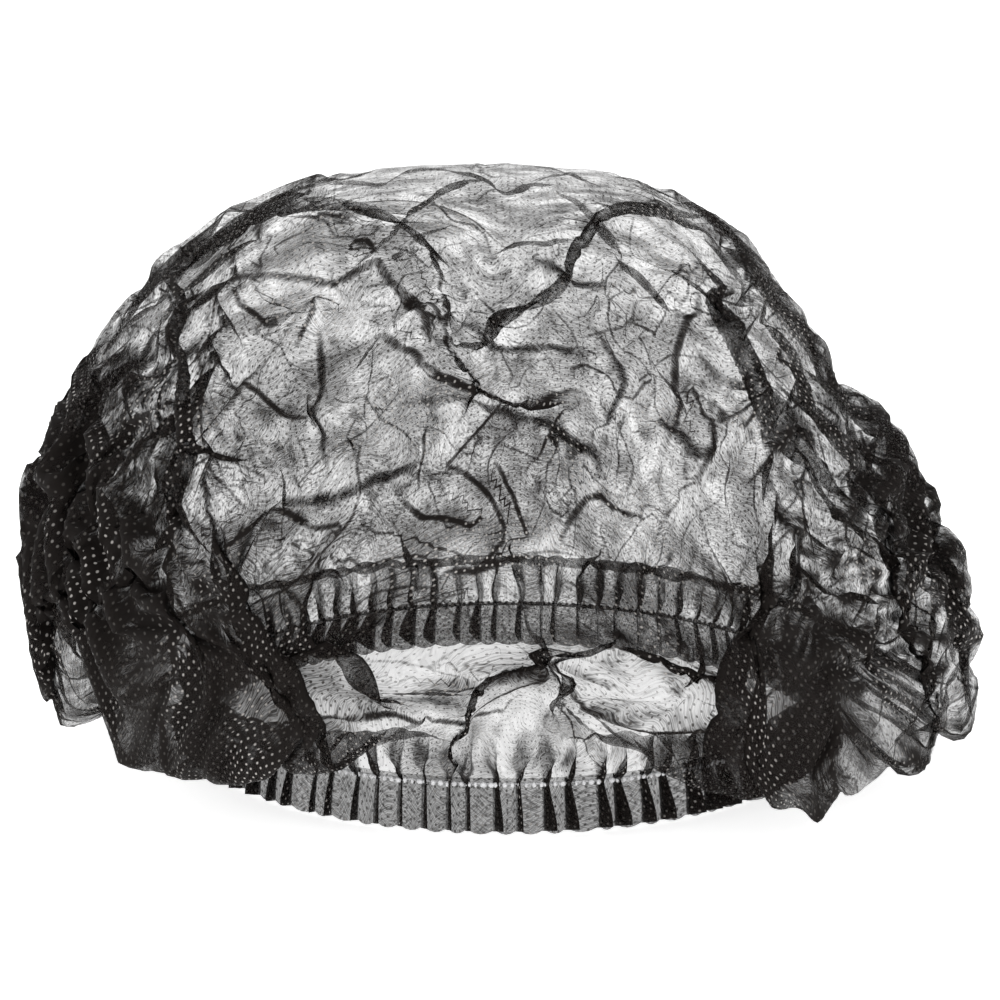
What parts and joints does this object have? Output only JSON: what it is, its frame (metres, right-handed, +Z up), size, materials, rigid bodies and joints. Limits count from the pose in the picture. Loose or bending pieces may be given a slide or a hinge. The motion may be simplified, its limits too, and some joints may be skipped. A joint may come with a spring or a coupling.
{
  "type": "non-woven hair cap",
  "caption": "Puffed black non-woven hair cap, gathered into a pleated hem by a sewn elastic loop, worn to keep the hair covered.",
  "frame": {"origin": "on the surface that the cap stands on, below the middle of its plan", "axes": "+X to the cap's right as the front is seen, +Y from the front to the back, +Z up from the mouth to the crown"},
  "size_m": [0.223, 0.2014, 0.1352],
  "materials": {
    "cloth": "matte thin spun-bonded cloth",
    "elastic": "covered elastic thread"
  },
  "bodies": {
    "root": {"crown": "cloth", "elastic": "elastic"}
  },
  "joints": []
}
